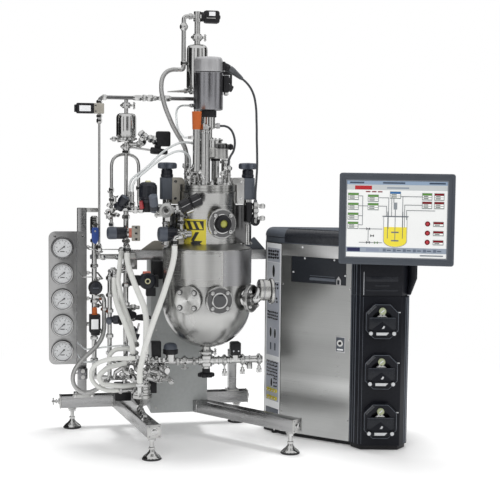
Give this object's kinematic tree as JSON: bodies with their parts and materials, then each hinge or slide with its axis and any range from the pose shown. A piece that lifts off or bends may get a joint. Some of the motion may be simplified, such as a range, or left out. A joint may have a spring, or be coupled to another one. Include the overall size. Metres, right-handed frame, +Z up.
{
  "type": "pilot bioreactor",
  "caption": "Floor-standing stirred stainless vessel on a piped skid with filters, valves and hoses, beside a console tower with tube pumps and a screen on an arm.",
  "frame": {"origin": "on the floor, under the middle of the rigid pieces' bounding box", "axes": "+X along the skid's main beam towards the console, +Y to the back, +Z up"},
  "size_m": [1.1797, 0.6502, 1.375],
  "materials": {
    "stainless_brushed": "brushed",
    "stainless_polished": "polished",
    "sheet_grey": "satin",
    "motor_grey": "satin",
    "black_plastic": "textured",
    "knob_plastic": "satin",
    "console_black": "textured",
    "lever_blue": "satin",
    "rotor_steel": "satin",
    "screen_housing": "satin",
    "steel_braid": "braided",
    "white_hose": "smooth",
    "clear_tube": "smooth",
    "cable_jacket": "smooth"
  },
  "bodies": {
    "frame": {"base_beam": "stainless_brushed", "front_leg_left": "stainless_brushed", "front_leg_right": "stainless_brushed", "pedestal_column": "sheet_grey", "support_beam": "stainless_brushed", "gauge_panel": "stainless_brushed", "vessel_shell": "stainless_polished", "vessel_jacket": "stainless_brushed", "head_plate": "stainless_polished", "light_port": "black_plastic", "blank_flange": "stainless_polished", "sight_glass": "stainless_polished", "side_nozzle": "stainless_polished", "sparger": "stainless_polished", "drain_valve": "stainless_polished", "drive_motor": "motor_grey", "drive_adapter": "stainless_polished", "seal_housing": "stainless_polished", "exhaust_condenser": "stainless_polished", "exhaust_filter": "stainless_polished", "exhaust_line": "stainless_polished", "clamp_tower_left": "stainless_polished", "clamp_tower_right": "stainless_polished", "inlet_filter": "stainless_polished", "gas_line": "stainless_polished", "upper_manifold": "stainless_polished", "lower_manifold": "stainless_polished", "condensate_line": "stainless_polished", "lower_actuator": "knob_plastic", "cabinet": "stainless_brushed", "cabinet_cap": "sheet_grey", "pump_tower": "console_black", "hose_braided_top": "steel_braid", "hose_braided_left": "steel_braid", "hose_steam_a": "white_hose", "hose_steam_b": "white_hose", "hose_steam_c": "white_hose", "hose_drain": "white_hose", "tube_clear_a": "clear_tube", "tube_clear_b": "clear_tube", "cable_motor": "cable_jacket", "cable_sensor": "cable_jacket", "tube_air": "clear_tube"},
    "agitator": {"agitator": "stainless_polished"},
    "drain_handwheel": {"drain_handwheel": "black_plastic"},
    "star_knob_left": {"star_knob_left": "black_plastic"},
    "star_knob_right": {"star_knob_right": "black_plastic"},
    "valve_knob_top": {"valve_knob_top": "knob_plastic"},
    "valve_knob_left": {"valve_knob_left": "knob_plastic"},
    "valve_knob_middle": {"valve_knob_middle": "knob_plastic"},
    "regulator_knob": {"regulator_knob": "black_plastic"},
    "ball_valve_lever": {"ball_valve_lever": "lever_blue"},
    "pump_rotor_1": {"pump_rotor_1": "rotor_steel"},
    "pump_rotor_2": {"pump_rotor_2": "rotor_steel"},
    "pump_rotor_3": {"pump_rotor_3": "rotor_steel"},
    "pump_cover_1": {"pump_cover_1": "black_plastic"},
    "pump_cover_2": {"pump_cover_2": "black_plastic"},
    "pump_cover_3": {"pump_cover_3": "black_plastic"},
    "monitor_arm": {"monitor_arm": "console_black"},
    "monitor": {"monitor": "screen_housing"}
  },
  "joints": [
    {"name": "agitator_spin", "type": "hinge", "parent": "frame", "child": "agitator", "pos_m": [-0.11888, 0.00706, 0.6], "axis": [0, 0, 1], "continuous": true},
    {"name": "drain_handwheel_turn", "type": "hinge", "parent": "frame", "child": "drain_handwheel", "pos_m": [-0.11888, 0.00706, 0.22], "axis": [0, 0, 1], "continuous": true},
    {"name": "star_knob_left_turn", "type": "hinge", "parent": "frame", "child": "star_knob_left", "pos_m": [-0.24688, 0.00706, 0.87], "axis": [0, 0, 1], "continuous": true},
    {"name": "star_knob_right_turn", "type": "hinge", "parent": "frame", "child": "star_knob_right", "pos_m": [0.00912, 0.00706, 0.87], "axis": [0, 0, 1], "continuous": true},
    {"name": "valve_knob_top_turn", "type": "hinge", "parent": "frame", "child": "valve_knob_top", "pos_m": [-0.31188, -0.04294, 0.8], "axis": [0, 0, 1], "continuous": true},
    {"name": "valve_knob_left_turn", "type": "hinge", "parent": "frame", "child": "valve_knob_left", "pos_m": [-0.39888, 0.04706, 0.668], "axis": [1, 0, 0], "continuous": true},
    {"name": "valve_knob_middle_turn", "type": "hinge", "parent": "frame", "child": "valve_knob_middle", "pos_m": [-0.25288, -0.05294, 0.671], "axis": [1, 0, 0], "continuous": true},
    {"name": "regulator_knob_turn", "type": "hinge", "parent": "frame", "child": "regulator_knob", "pos_m": [-0.46288, 0.06206, 0.496], "axis": [0, 1, 0], "continuous": true},
    {"name": "ball_valve_lever_turn", "type": "hinge", "parent": "frame", "child": "ball_valve_lever", "pos_m": [-0.46288, 0.07506, 0.692], "axis": [0, 1, 0], "range_deg": [0, 90]},
    {"name": "pump_rotor_1_spin", "type": "hinge", "parent": "frame", "child": "pump_rotor_1", "pos_m": [0.39458, -0.19057, 0.409], "axis": [0.2079, 0.9781, 0], "continuous": true},
    {"name": "pump_rotor_2_spin", "type": "hinge", "parent": "frame", "child": "pump_rotor_2", "pos_m": [0.39458, -0.19057, 0.252], "axis": [0.2079, 0.9781, 0], "continuous": true},
    {"name": "pump_rotor_3_spin", "type": "hinge", "parent": "frame", "child": "pump_rotor_3", "pos_m": [0.39458, -0.19057, 0.097], "axis": [0.2079, 0.9781, 0], "continuous": true},
    {"name": "pump_cover_1_swing", "type": "hinge", "parent": "frame", "child": "pump_cover_1", "pos_m": [0.39105, -0.2072, 0.373], "axis": [0.9781, -0.2079, 0], "range_deg": [0, 100]},
    {"name": "pump_cover_2_swing", "type": "hinge", "parent": "frame", "child": "pump_cover_2", "pos_m": [0.39105, -0.2072, 0.216], "axis": [0.9781, -0.2079, 0], "range_deg": [0, 100]},
    {"name": "pump_cover_3_swing", "type": "hinge", "parent": "frame", "child": "pump_cover_3", "pos_m": [0.39105, -0.2072, 0.061], "axis": [0.9781, -0.2079, 0], "range_deg": [0, 100]},
    {"name": "monitor_swivel", "type": "hinge", "parent": "frame", "child": "monitor_arm", "pos_m": [0.51349, -0.16984, 0.727], "axis": [0, 0, 1], "range_deg": [0, 60]},
    {"name": "monitor_tilt", "type": "hinge", "parent": "monitor_arm", "child": "monitor", "pos_m": [0.43225, -0.20573, 0.727], "axis": [0.9272, -0.3746, 0], "range_deg": [-20, 0]}
  ]
}
